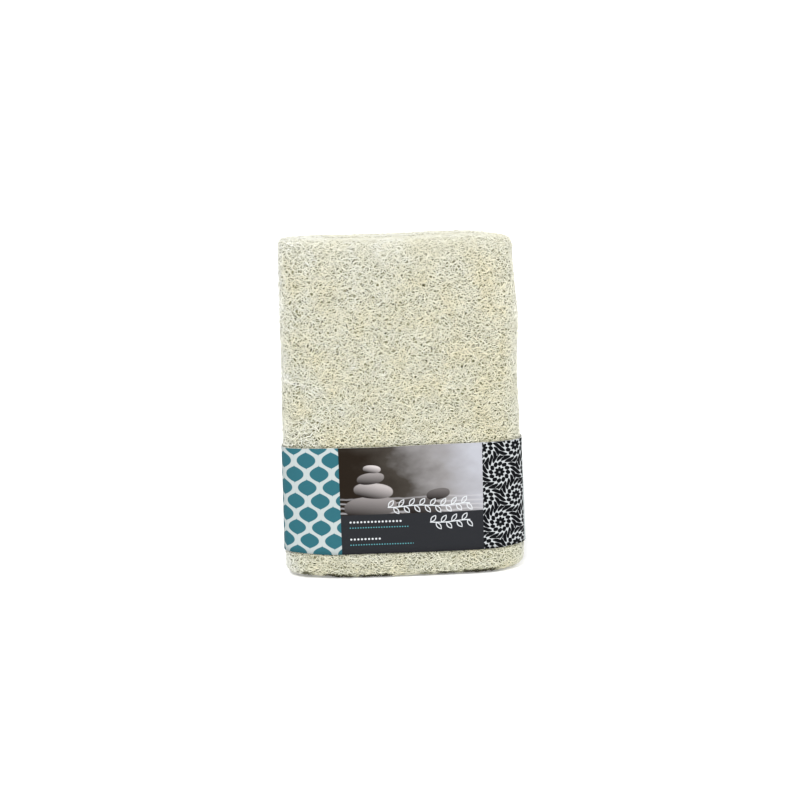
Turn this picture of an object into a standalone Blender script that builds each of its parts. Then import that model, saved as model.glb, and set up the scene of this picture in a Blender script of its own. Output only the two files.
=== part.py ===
"""Natural loofah sponge: a flattened section of the dried gourd standing on its cut end,
with a printed paper band round its lower part.

Lengths in this file are millimetres, turned into metres when a mesh is made. X runs to the right,
the front faces -Y and Z is up. The base of the sponge lies on z = 0.
"""
import math

import bmesh
import bpy
import numpy as np

MM = 0.001
SEED = 4127

# outline of the sponge
HEIGHT = 144.0
HALF_W_FOOT = 51.5        # half the width at the foot
HALF_W_HEAD = 48.3        # half the width at the head
HALF_D_FOOT = 16.9        # half the thickness at the foot
HALF_D_HEAD = 16.4        # half the thickness at the head
SECTION_POWER = 2.4       # 2 is an ellipse, more is squarer
FORWARD = 6.0             # how far the widest lines lie in front of the middle
SHOULDER = (0.9, 108.0, 15.0)  # swell of the right side: size, height and reach
CORNER_HEAD = (2.2, 4.6)  # corner radius at the head, left and right
CORNER_FOOT = (8.4, 8.0)  # corner radius at the foot, left and right
RIM = 3.2                 # radius of the rim along the front and the back
HEAD_WAVE_X = (-50, -42, -30, -20, -8, 4, 16, 30, 42, 50)
HEAD_WAVE_Z = (0.9, 0.7, 0.3, -0.1, -0.4, -0.3, 0.1, 0.3, -0.5, -0.8)
BULGE = 0.42              # size of the slow swells of the faces

# the raised net
COLUMNS = 40              # cells round the girth
FLAT_ROWS = 3             # rows of cells on each cut end
ROWS = 33                 # rows from the seed slots at the head to those at the foot
JITTER = 0.15             # shift of a net node, in cells
PIT = (1.3, 2.2)          # depth of a cell on the sides
END_PIT = (2.4, 3.6)      # depth of a cut fibre pore on an end
LAND = 0.6                # size of the mouth of an end pore against its cell
CREST = (-0.15, 0.2)      # rise and fall of the net above the mean surface

# the three squashed seed chambers, seen as slots in each end
SLOT_HALF_L = 35.0
SLOT_HALF_W = 1.6
SLOT_DEPTH = 6.0
SEPTA_X = (-11.6, 11.2)
SEPTUM_HALF = 1.6

# paper band
BAND_LOW = 11.1
BAND_HIGH = 57.9
BAND_SLOPE = 0.0059       # rise of its edges from left to right
BAND_GAP = 0.35           # from the sponge's mean surface to the paper
PAPER = 0.5               # thickness of the paper
BAND_STEPS = 120
OVERLAP = (0.215, 0.262)  # lap of the two paper ends on the back, in turns
LAP_RAMP = 0.014


def sgn_pow(v, p):
    return np.sign(v) * np.abs(v) ** p


def turn_table():
    """Angle of the section curve against its length, so that columns are evenly spaced."""
    t = np.linspace(0.0, 2.0 * math.pi, 7201)
    x = 50.0 * sgn_pow(np.cos(t), 2.0 / SECTION_POWER)
    y = 16.8 * sgn_pow(np.sin(t), 2.0 / SECTION_POWER)
    s = np.concatenate([[0.0], np.cumsum(np.hypot(np.diff(x), np.diff(y)))])
    return s / s[-1], t


TURN_S, TURN_T = turn_table()


def unit_section(u):
    """Point of the unit section at u turns: 0 is +X, a quarter is +Y (the back)."""
    t = np.interp(np.mod(u, 1.0), TURN_S, TURN_T)
    return (sgn_pow(np.cos(t), 2.0 / SECTION_POWER), sgn_pow(np.sin(t), 2.0 / SECTION_POWER))


def wall_point(u, a, b):
    """Point of the section with half sizes a and b, fuller at the front than at the back."""
    cx, cy = unit_section(u)
    return a * cx, b * cy - FORWARD * np.abs(cx) ** 3


def half_sizes(z):
    k = min(max(z / HEIGHT, 0.0), 1.0)
    return (HALF_W_FOOT + (HALF_W_HEAD - HALF_W_FOOT) * k,
            HALF_D_FOOT + (HALF_D_HEAD - HALF_D_FOOT) * k)


def smooth(a, b, v):
    k = min(max((v - a) / (b - a), 0.0), 1.0)
    return k * k * (3.0 - 2.0 * k)


def swell(u, z):
    """Slow natural swells of the faces, none where the band lies."""
    a = 2.0 * math.pi * u
    v = (0.9 * math.sin(3 * a + 0.046 * z + 0.4) + 0.7 * math.sin(5 * a - 0.071 * z + 2.1)
         + 0.6 * math.sin(0.115 * z + 2 * a + 1.0) + 0.4 * math.sin(9 * a + 0.13 * z))
    size, level, reach = SHOULDER
    side = size * math.exp(-((z - level) / reach) ** 2) * max(math.cos(a), 0.0) ** 4
    return (BULGE * v * 0.5 + side) * smooth(BAND_HIGH + 2.0, BAND_HIGH + 16.0, z)


def section_point(u, z, out=0.0):
    """Point of the side wall at height z, pushed outward by out."""
    a, b = half_sizes(z)
    x, y = wall_point(u, a, b)
    if out == 0.0:
        return float(x), float(y)
    step = 0.0015
    x0, y0 = wall_point(u - step, a, b)
    x1, y1 = wall_point(u + step, a, b)
    tx, ty = x1 - x0, y1 - y0
    length = math.hypot(tx, ty)
    return float(x + out * ty / length), float(y - out * tx / length)


def end_contour(u, corner, z):
    """Edge of the flat cut end, inside the rounded rim."""
    a, b = half_sizes(z)
    inset = corner[1] if unit_section(u)[0] > 0 else corner[0]
    x, y = wall_point(u, a - inset, b - RIM)
    return float(x), float(y)


def slot_contour(u):
    """Long narrow loop round the seed slots."""
    q = np.mod(u, 1.0) * 4.0
    side = int(q) % 4
    f = q - int(q)
    along = {0: 1.0 - f, 1: -f, 2: -(1.0 - f), 3: f}[side]
    up = 1.0 if side < 2 else -1.0
    width = SLOT_HALF_W * (1.0 - abs(along) ** 6) ** 0.5
    x = SLOT_HALF_L * along
    return float(x), float(up * width - FORWARD * abs(x / HALF_W_FOOT) ** 3)


def rim_height(u, corner):
    cx, _ = unit_section(u)
    side = corner[1] if cx > 0 else corner[0]
    return RIM + (side - RIM) * abs(float(cx)) ** 4


def net_point(u, w, push=0.0):
    """Point of the whole skin. w counts rows from the head's slots over the rim, down the side
    and in again to the foot's slots."""
    head = w < ROWS / 2.0
    v = w if head else ROWS - w
    corner = CORNER_HEAD if head else CORNER_FOOT
    level = HEIGHT if head else 0.0
    sign = -1.0 if head else 1.0
    flat = FLAT_ROWS - 0.5
    rim = rim_height(u, corner)
    if v <= flat:
        k = v / flat
        x0, y0 = slot_contour(u)
        x1, y1 = end_contour(u, corner, level)
        x, y, z = x0 + (x1 - x0) * k, y0 + (y1 - y0) * k, level
    elif v <= flat + 1.0:
        turn = (v - flat) * math.pi / 2.0
        x0, y0 = end_contour(u, corner, level)
        z = level + sign * rim * (1.0 - math.cos(turn))
        x1, y1 = section_point(u, z, push * math.sin(turn))
        k = math.sin(turn)
        x, y = x0 + (x1 - x0) * k, y0 + (y1 - y0) * k
    else:
        top = HEIGHT - rim_height(u, CORNER_HEAD)
        low = rim_height(u, CORNER_FOOT)
        side_rows = ROWS - 2.0 * (flat + 1.0)
        z = top + (low - top) * (w - flat - 1.0) / side_rows
        x, y = section_point(u, z, push + swell(u, z))
    if head:
        z += float(np.interp(x, HEAD_WAVE_X, HEAD_WAVE_Z)) * smooth(HEIGHT - 22.0, HEIGHT - 4.0, z)
    return np.array([x, y, z])


def slot_depth(x):
    """Depth of the seed slots along X: none at the septa and past the ends."""
    depth = SLOT_DEPTH * smooth(SLOT_HALF_L - 0.6, SLOT_HALF_L - 4.2, abs(x))
    for septum in SEPTA_X:
        depth *= smooth(SEPTUM_HALF - 0.6, SEPTUM_HALF + 1.2, abs(x - septum))
    return depth


def sponge_mesh():
    rng = np.random.default_rng(SEED)
    around = 2 * COLUMNS
    verts, faces = [], []
    ring = np.zeros((ROWS + 1, around), dtype=int)
    flat_rows = set(range(FLAT_ROWS)) | set(range(ROWS - FLAT_ROWS, ROWS))

    for k in range(ROWS + 1):
        edge = k in (0, ROWS)
        for m in range(around):
            u, w = m / around, float(k)
            push = 0.0
            shift_u, shift_w, crest = rng.uniform(-1, 1, 3)
            if not edge:
                w += (-1.0 if m % 2 == k % 2 else 1.0) / 6.0
                u += JITTER * shift_u / COLUMNS
                w += JITTER * shift_w
                z = net_point(u, w)[2]
                push = CREST[0] + (CREST[1] - CREST[0]) * (0.5 + 0.5 * crest)
                if z < BAND_HIGH + 4.0:
                    push = min(push, 0.0) - 0.05
            ring[k, m] = len(verts)
            verts.append(net_point(u, w, push))

    for k in range(ROWS):
        for c in range(k % 2, around, 2):
            loop = [ring[k, c - 1], ring[k, c], ring[k, (c + 1) % around],
                    ring[k + 1, (c + 1) % around], ring[k + 1, c], ring[k + 1, c - 1]]
            pts = np.array([verts[i] for i in loop])
            mid = pts.mean(axis=0)
            normal = np.zeros(3)
            for i in range(6):
                normal += np.cross(pts[i] - mid, pts[(i + 1) % 6] - mid)
            normal /= np.linalg.norm(normal)
            outward = net_point(c / around, k + 0.5, 2.0) - net_point(c / around, k + 0.5, 0.0)
            if k in flat_rows:
                outward = np.array([0.0, 0.0, 1.0 if k < FLAT_ROWS else -1.0])
            if float(np.dot(normal, outward)) < 0:
                normal = -normal
            pick = rng.uniform(0, 1)
            if k in flat_rows:
                inner = []
                for p in pts:
                    inner.append(len(verts))
                    verts.append(mid + (p - mid) * LAND)
                if k in (FLAT_ROWS - 1, ROWS - FLAT_ROWS):
                    for i, p in zip(inner, pts):
                        verts[i] = verts[i] - normal * 0.05
                for i in range(6):
                    j = (i + 1) % 6
                    faces.append((loop[i], loop[j], inner[j], inner[i]))
                loop = inner
                depth = END_PIT[0] + (END_PIT[1] - END_PIT[0]) * pick
            else:
                depth = PIT[0] + (PIT[1] - PIT[0]) * pick
            centre = len(verts)
            lean = rng.uniform(-0.35, 0.35, 3)
            verts.append(mid - normal * depth + (lean - normal * np.dot(lean, normal)))
            for i in range(6):
                faces.append((loop[i], loop[(i + 1) % 6], centre))

    for k, sign in ((0, -1.0), (ROWS, 1.0)):
        floor = []
        for m in range(around):
            x, y, z = verts[ring[k, m]]
            floor.append(len(verts))
            bow = -FORWARD * abs(x / HALF_W_FOOT) ** 3
            verts.append(np.array([x * 0.985, bow + (y - bow) * 0.8, z + sign * slot_depth(x)]))
        for m in range(around):
            n = (m + 1) % around
            faces.append((ring[k, m], ring[k, n], floor[n], floor[m]))
        for m in range(around // 2):
            a, b = floor[m], floor[m + 1]
            c, d = floor[(around - m - 1) % around], floor[(around - m) % around]
            quad = [a, b, c, d]
            faces.append(tuple(dict.fromkeys(quad)))
    return verts, faces


def band_thickness(u):
    """One sheet, two where the ends lap, with a sharp free edge and a soft ramp."""
    lo, hi = OVERLAP
    if u <= lo or u >= hi + LAP_RAMP:
        return PAPER
    if u <= hi:
        return 2.0 * PAPER
    return PAPER * (1.0 + 1.0 - (u - hi) / LAP_RAMP)


def band_mesh():
    turns = list(np.arange(BAND_STEPS) / BAND_STEPS)
    lo, hi = OVERLAP
    turns = [u for u in turns if min(abs(u - lo), abs(u - hi), abs(u - hi - LAP_RAMP)) > 0.002]
    turns += [lo, lo + 0.0006, hi, hi + LAP_RAMP]
    turns = sorted(float(u) for u in turns)
    count = len(turns)
    verts, faces = [], []
    for u in turns:
        thick = band_thickness(u)
        for z in (BAND_LOW, BAND_HIGH):
            for out in (BAND_GAP, BAND_GAP + thick):
                x, y = section_point(u, z, out)
                verts.append((x, y, z + BAND_SLOPE * x))
    for i in range(count):
        a, b = 4 * i, 4 * ((i + 1) % count)
        faces.append((a, a + 2, b + 2, b))
        faces.append((a + 1, b + 1, b + 3, a + 3))
        faces.append((a, b, b + 1, a + 1))
        faces.append((a + 2, a + 3, b + 3, b + 2))
    return [np.array(v) for v in verts], faces


def material(name, colour, roughness):
    mat = bpy.data.materials.new(name)
    mat.use_nodes = True
    shader = mat.node_tree.nodes["Principled BSDF"]
    shader.inputs["Base Color"].default_value = (*colour, 1.0)
    shader.inputs["Roughness"].default_value = roughness
    mat.diffuse_color = (*colour, 1.0)
    return mat


def add_object(name, verts, faces, origin, mat):
    mesh = bpy.data.meshes.new(name)
    mesh.from_pydata([tuple((v - origin) * MM) for v in verts], [], faces)
    mesh.validate()
    mesh.update()
    work = bmesh.new()
    work.from_mesh(mesh)
    bmesh.ops.recalc_face_normals(work, faces=work.faces)
    work.to_mesh(mesh)
    work.free()
    mesh.materials.append(mat)
    obj = bpy.data.objects.new(name, mesh)
    obj.location = tuple(origin * MM)
    bpy.context.scene.collection.objects.link(obj)
    return obj


def main():
    for obj in list(bpy.data.objects):
        bpy.data.objects.remove(obj, do_unlink=True)
    sponge = sponge_mesh()
    band = band_mesh()
    every = np.array(sponge[0] + band[0])
    low, high = every.min(axis=0), every.max(axis=0)
    shift = np.array([(low[0] + high[0]) / 2.0, (low[1] + high[1]) / 2.0, low[2]])
    fibre = material("loofah_fibre", (0.66, 0.62, 0.48), 0.9)
    paper = material("printed_paper", (0.86, 0.9, 0.92), 0.6)
    add_object("sponge", [v - shift for v in sponge[0]], sponge[1], np.zeros(3), fibre)
    add_object("paper_band", [v - shift for v in band[0]], band[1],
               np.array([0.0, 0.0, BAND_LOW]), paper)


main()
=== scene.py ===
"""Looks of the natural loofah sponge: a raised net of curly dry fibre over a soft deeper web,
cut ends with squashed seed slots, and a printed paper band. Sizes of the body and the band are
given in millimetres and turned to metres in the meshes."""

import math

import bmesh
import bpy
import numpy as np
from mathutils import Matrix, Vector


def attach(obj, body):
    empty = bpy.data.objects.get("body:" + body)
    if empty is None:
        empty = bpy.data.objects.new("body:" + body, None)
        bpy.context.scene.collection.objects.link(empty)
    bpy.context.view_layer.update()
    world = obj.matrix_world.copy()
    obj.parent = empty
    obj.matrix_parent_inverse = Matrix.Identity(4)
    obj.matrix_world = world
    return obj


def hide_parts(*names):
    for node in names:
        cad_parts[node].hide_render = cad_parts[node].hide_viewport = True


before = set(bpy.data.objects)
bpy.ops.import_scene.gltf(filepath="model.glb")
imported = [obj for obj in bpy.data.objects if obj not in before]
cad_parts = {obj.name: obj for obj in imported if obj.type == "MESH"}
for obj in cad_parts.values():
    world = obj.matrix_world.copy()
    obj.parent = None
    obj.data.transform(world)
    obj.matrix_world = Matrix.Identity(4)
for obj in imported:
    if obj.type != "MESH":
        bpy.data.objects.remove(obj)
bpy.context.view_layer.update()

MM = 0.001
COL = bpy.context.scene.collection

# the body, in millimetres. Pairs run from foot to head, and corners from left to right.
HEIGHT = 144.0
HALF_W = (51.5, 48.3)
HALF_D = (16.9, 16.4)
POWER = 2.4                             # squareness of the section, where 2 is an ellipse
FORWARD = 6.0                           # how far the side edges lie to the front
SWELL, SWELL_FADE = 0.21, (2.0, 16.0)   # slow swells, and where they fade in above the band
SHOULDER = (0.9, 108.0, 15.0)           # swell on the right side: size, height and reach
CORNER_HEAD = (2.2, 4.6)
CORNER_FOOT = (5.4, 6.6)
RIM = 3.2                               # radius of the edges at front and back
# the head's edge rises and falls, fading out between these depths under it
WAVE_REACH = (22.0, 4.0)
WAVE_X = (-50, -42, -30, -20, -8, 4, 16, 30, 42, 50)
WAVE_Z = (0.9, 0.7, 0.3, -0.1, -0.4, -0.3, 0.1, 0.3, -0.5, -0.8)
# the foot's front rim is lifted, full at the second of these places and heights
LIFT_FRONT, LIFT_TOP = (-5.0, -11.5), (11.0, 2.0)
LIFT_X = (-50, -46, -40, -36, -30, -24, -12, -3, 4, 16, 24, 36, 40, 43, 46, 50)
LIFT_Z = (1.4, 1.5, 1.35, 1.0, 0.5, 0.1, 0.15, 0.3, 0.45, 0.5, 0.5, 0.55, 0.7, 1.1, 1.6, 1.9)
# painted contact shadow: how dark the foot's lowest fibres are, in dashes along its front edge
SHADOW_DASH_X = (-45, -44, -40, -39, -36, -35, -23, -22, -21, -20, -6, -5, 5, 6, 10.5, 11.5, 12, 13,
          22, 23, 24, 39, 40)
SHADOW_DASH = (0, 0.95, 0.95, 0, 0, 1, 1, 0.5, 0.5, 1, 1, 0, 0, 0.86, 0.86, 0, 0, 0.96,
        0.96, 0.4, 1, 1, 0)
SHIFT_Y = -0.25
# three squashed seed chambers in each end, with walls between them
SLOT_L, SLOT_W, SLOT_DEEP = 35.0, 1.6, 6.0
SLOT_FADE = (0.6, 4.2)                  # a slot deepens over this stretch from its tip
SEPTA, SEPTUM_FADE = (-11.6, 11.2), (1.0, 2.8)
# the section that even turns are measured on, and the share of a turn that gives its slope
TURN_STEPS, TURN_HALF_W, TURN_HALF_D, TURN_SLOPE = 7201, 50.0, 16.8, 0.0015

# the paper band, in millimetres. The lap is in turns.
BAND_LOW, BAND_HIGH, BAND_SLOPE = 11.1, 57.9, 0.0059
BAND_GAP, PAPER = 0.32, 0.3
LAP = (0.215, 0.262)                    # where the outer end of the paper lies, and the inner


# shape of the body

def sgn_pow(v, p):
    return np.sign(v) * np.abs(v) ** p


def turns():
    """Table from share of the way round the section to the angle that makes it."""
    t = np.linspace(0.0, 2.0 * math.pi, TURN_STEPS)
    x = TURN_HALF_W * sgn_pow(np.cos(t), 2.0 / POWER)
    y = TURN_HALF_D * sgn_pow(np.sin(t), 2.0 / POWER)
    s = np.concatenate([[0.0], np.cumsum(np.hypot(np.diff(x), np.diff(y)))])
    return s / s[-1], t


TURN_S, TURN_T = turns()


def unit_section(u):
    t = np.interp(np.mod(u, 1.0), TURN_S, TURN_T)
    return sgn_pow(np.cos(t), 2.0 / POWER), sgn_pow(np.sin(t), 2.0 / POWER)


def wall(u, a, b):
    """Point of the section with half sizes a and b, fuller at the front than at the back."""
    cx, cy = unit_section(u)
    return a * cx, b * cy - FORWARD * np.abs(cx) ** 3


def half_sizes(z):
    k = np.clip(z / HEIGHT, 0.0, 1.0)
    return HALF_W[0] + (HALF_W[1] - HALF_W[0]) * k, HALF_D[0] + (HALF_D[1] - HALF_D[0]) * k


def smooth(a, b, v):
    k = np.clip((v - a) / (b - a), 0.0, 1.0)
    return k * k * (3.0 - 2.0 * k)


def section(u, z, out):
    """Place on the side wall at height z, pushed outward by out millimetres."""
    a, b = half_sizes(z)
    x, y = wall(u, a, b)
    x0, y0 = wall(u - TURN_SLOPE, a, b)
    x1, y1 = wall(u + TURN_SLOPE, a, b)
    tx, ty = x1 - x0, y1 - y0
    length = np.hypot(tx, ty)
    return x + out * ty / length, y - out * tx / length + SHIFT_Y


def swell(u, z):
    """Slow swells of the grown body above the band, in millimetres outward."""
    a = 2.0 * math.pi * u
    v = (0.9 * np.sin(3 * a + 0.046 * z + 0.4) + 0.7 * np.sin(5 * a - 0.071 * z + 2.1)
         + 0.6 * np.sin(0.115 * z + 2 * a + 1.0) + 0.4 * np.sin(9 * a + 0.13 * z))
    size, level, reach = SHOULDER
    side = size * np.exp(-((z - level) / reach) ** 2) * np.maximum(np.cos(a), 0.0) ** 4
    low, high = SWELL_FADE
    return (SWELL * v + side) * smooth(BAND_HIGH + low, BAND_HIGH + high, z)


def slot_depth(x):
    """Depth of the three seed chambers, which are shut off by the walls between them."""
    tip, full = SLOT_FADE
    depth = SLOT_DEEP * smooth(SLOT_L - tip, SLOT_L - full, np.abs(x))
    for septum in SEPTA:
        depth = depth * smooth(*SEPTUM_FADE, np.abs(x - septum))
    return depth


def skin_grid(push, around, slots, flat_rows=9, rim_rows=5, side_rows=120):
    """Grid over the whole body, from the head's slots over the rim, down and in at the foot.
    push gives the millimetres outward for turns u and heights z."""
    u = np.arange(around) / around
    cx = unit_section(u)[0]
    side = np.abs(cx) ** 4

    # the grid's inner loop runs along the slot's back edge to the left, and back along its front
    q = u * 4.0
    k = np.floor(q).astype(int) % 4
    f = q - np.floor(q)
    along = np.choose(k, [1.0 - f, -f, f - 1.0, f])
    width = SLOT_W * np.sqrt(np.clip(1.0 - np.abs(along) ** 6, 0.0, 1.0))
    slot_x, slot_y = SLOT_L * along, np.where(k < 2, width, -width)
    bow = -FORWARD * np.abs(slot_x / HALF_W[0]) ** 3

    def end_rows(level, corner, sign):
        a, b = half_sizes(level)
        inset = np.where(cx > 0, corner[1], corner[0])
        ex, ey = wall(u, a - inset, b - RIM)
        rim = RIM + (inset - RIM) * side
        out = []
        if slots:
            depth = slot_depth(slot_x)
            for share, tuck in ((1.0, 0.8), (0.55, 0.86), (0.15, 0.95)):
                out.append((slot_x * (0.97 + 0.03 * tuck), bow + slot_y * tuck,
                            level + sign * depth * share))
        for i in range(flat_rows + 1):
            t = i / flat_rows
            z = np.full(around, level)
            dip = push(u, z)
            y0 = bow + slot_y
            out.append((slot_x + (ex - slot_x) * t, y0 + (ey - y0) * t, z - sign * dip))
        for i in range(1, rim_rows + 1):
            ang = i / rim_rows * math.pi / 2.0
            z = level + sign * rim * (1.0 - math.cos(ang))
            dip = push(u, z)
            wx, wy = section(u, z, dip * math.sin(ang))
            wy = wy - SHIFT_Y
            t = math.sin(ang)
            out.append((ex + (wx - ex) * t, ey + (wy - ey) * t, z - sign * dip * math.cos(ang)))
        return out, rim

    head, rim_h = end_rows(HEIGHT, CORNER_HEAD, -1.0)
    foot, rim_f = end_rows(0.0, CORNER_FOOT, 1.0)
    rows = head
    for i in range(1, side_rows):
        z = (HEIGHT - rim_h) + (rim_f - HEIGHT + rim_h) * i / side_rows
        x, y = section(u, z, push(u, z) + swell(u, z))
        rows.append((x, y - SHIFT_Y, z))
    rows += foot[::-1]
    pts = np.array([np.stack(r, -1) for r in rows])
    x, y, z = pts[..., 0], pts[..., 1], pts[..., 2]
    low, high = WAVE_REACH
    z += np.interp(x, WAVE_X, WAVE_Z) * smooth(HEIGHT - low, HEIGHT - high, z)
    z += np.interp(x, LIFT_X, LIFT_Z) * smooth(*LIFT_FRONT, y) * smooth(*LIFT_TOP, z)
    y += SHIFT_Y
    n = len(rows)
    ids = np.arange(n * around).reshape(n, around)
    nxt = np.roll(ids, -1, axis=1)
    quads = np.stack([ids[:-1], nxt[:-1], nxt[1:], ids[1:]], -1).reshape(-1, 4)
    faces = [tuple(int(i) for i in q[::-1]) for q in quads]
    for row, flip in ((ids[0], False), (ids[-1], True)):
        for m in range(around // 2):
            corners = [int(row[k % around]) for k in (m, m + 1, around - m - 1, around - m)]
            corners = list(dict.fromkeys(corners))
            faces.append(tuple(corners[::-1] if flip else corners))
    return pts.reshape(-1, 3), faces


def mesh_object(name, pts, faces):
    """Smooth mesh object in metres, from points in millimetres."""
    mesh = bpy.data.meshes.new(name)
    mesh.from_pydata((np.asarray(pts) * MM).tolist(), [], faces)
    mesh.update()
    mesh.polygons.foreach_set("use_smooth", [True] * len(mesh.polygons))
    obj = bpy.data.objects.new(name, mesh)
    COL.objects.link(obj)
    return obj


def outward(obj):
    """Turns the faces of a closed mesh outward."""
    work = bmesh.new()
    work.from_mesh(obj.data)
    bmesh.ops.recalc_face_normals(work, faces=work.faces)
    work.to_mesh(obj.data)
    work.free()


# node helpers

def wire(tree, socket, value):
    """Links another node's output to the socket, or sets the socket to a plain value."""
    if isinstance(value, bpy.types.NodeSocket):
        tree.links.new(value, socket)
    elif value is not None:
        socket.default_value = value


def num(tree, op, a, b=None, c=None, clamp=False):
    node = tree.nodes.new("ShaderNodeMath")
    node.operation = op
    node.use_clamp = clamp
    for socket, value in zip(node.inputs, (a, b, c)):
        wire(tree, socket, value)
    return node.outputs[0]


def add(tree, a, b, clamp=False):
    return num(tree, "ADD", a, b, clamp=clamp)


def sub(tree, a, b, clamp=False):
    return num(tree, "SUBTRACT", a, b, clamp=clamp)


def mul(tree, a, b, clamp=False):
    return num(tree, "MULTIPLY", a, b, clamp=clamp)


def div(tree, a, b, clamp=False):
    return num(tree, "DIVIDE", a, b, clamp=clamp)


def vec(tree, op, a, b=None, scale=None):
    node = tree.nodes.new("ShaderNodeVectorMath")
    node.operation = op
    wire(tree, node.inputs[0], a)
    wire(tree, node.inputs[1], b)
    if scale is not None:
        wire(tree, node.inputs["Scale"], scale)
    return node.outputs["Value" if op in ("LENGTH", "DOT_PRODUCT") else "Vector"]


def add_socket(tree, name, kind, default=None, out=False):
    way = "OUTPUT" if out else "INPUT"
    socket = tree.interface.new_socket(name, in_out=way, socket_type=kind)
    if default is not None:
        socket.default_value = default


def random_value(tree, ident, seed, low=0.0, high=1.0):
    node = tree.nodes.new("FunctionNodeRandomValue")
    node.data_type = "FLOAT"
    floats = [s for s in node.inputs if s.type == "VALUE"]
    wire(tree, floats[0], low)
    wire(tree, floats[1], high)
    wire(tree, node.inputs["ID"], ident)
    wire(tree, node.inputs["Seed"], seed)
    return [s for s in node.outputs if s.type == "VALUE"][0]


def noise(tree, place, scale, detail=2.0, w=None, colour=False):
    node = tree.nodes.new("ShaderNodeTexNoise")
    node.noise_dimensions = "4D" if w is not None else "3D"
    wire(tree, node.inputs["Vector"], place)
    if w is not None:
        wire(tree, node.inputs["W"], w)
    node.inputs["Scale"].default_value = scale
    node.inputs["Detail"].default_value = detail
    return node.outputs[1 if colour else 0]


# fibre net

FIBRE_INPUTS = (
    ("Fibres per Square Metre", "NodeSocketFloat", 3.0e5),
    ("Length", "NodeSocketFloat", 0.009),
    ("Length Spread", "NodeSocketFloat", 0.5),
    ("Segments", "NodeSocketInt", 9),
    ("Thickness", "NodeSocketFloat", 0.00024),
    ("Curl", "NodeSocketFloat", 300.0),
    ("Wander", "NodeSocketFloat", 0.0012),
    ("Depth", "NodeSocketFloat", 0.0004),
    ("Depth Spread", "NodeSocketFloat", 0.0003),
    ("Weave", "NodeSocketFloat", 0.0003),
    ("Tip Dive", "NodeSocketFloat", 0.0008),
    ("Pores per Metre", "NodeSocketFloat", 720.0),
    ("Pore Radius", "NodeSocketFloat", 0.0004),
    ("Slant", "NodeSocketFloat", 0.4),
    ("Slant Spread", "NodeSocketFloat", 3.14),
    ("Tuck Under Band", "NodeSocketFloat", 0.0004),
    ("Seed", "NodeSocketInt", 1),
)

# how the fibres lie, in metres
PACKING, OVERSOW = 0.66, 4.0            # closeness of two roots, and points tried for each kept
MASK_SHARP = 8.0                        # sharpness of the border between two lots
LEAST_CURL = 20.0                       # no fibre is quite straight
STIR_SCALE, STIR_DETAIL, STIR_LOT, STIR_REACH = 0.42, 1.5, 3.7, 4.0
WEAVE_RATE = 1250.0                     # turns of the wave along a fibre, in radians a metre
TIP_POWER, TIP_TAPER = 5.0, 0.55
THICK_LEAST, THICK_MOST = 0.62, 1.3
TUCK_LOW, TUCK_HIGH = (BAND_LOW + 0.2) * MM, (BAND_HIGH + 0.8) * MM
TUCK_RATE, TUCK_SOFT = 900.0, 0.2
PORE_FLAT = 1.3                         # how much wider than high a pore is
FLOOR_CLEAR = 0.00012                   # least height of a fibre's middle line

# how the colour runs over the body, in metres, with painted rim light and painted shade
# painted rim light: the fibres toward the side edges and the head are paler and more neutral
SIDE_RIM_LIGHT, SIDE_RIM_LIGHT_RATE = 0.043, 125.0
HEAD_RIM_LIGHT, HEAD_RIM_LIGHT_RATE, HEAD_RIM_LIGHT_SHARE = 0.126, 58.0, 0.5
PATCH_SCALE, PATCH_DETAIL, PATCH_FROM, PATCH_GAIN, PATCH_MOST = 0.075, 2.5, 0.375, 1.8, 0.4
WARM_ACROSS, TINT_SPREAD, RIM_LIGHT_TINT, RIM_LIGHT_LIFT = 3.0, 0.42, 0.85, 0.1
# painted shade: full at FULL_DEPTH under the skin, FOOT_SHADE more toward the foot; SHADE_SPREAD is
# each fibre's own random tone
FULL_DEPTH, FOOT_SHADE, SHADE_SPREAD, SHADE_SHARE = 0.0021, 0.25, 0.12, 0.8
# painted contact shadow at the foot fades out over this height
SHADOW_DASH_FADE = 0.0005


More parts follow.
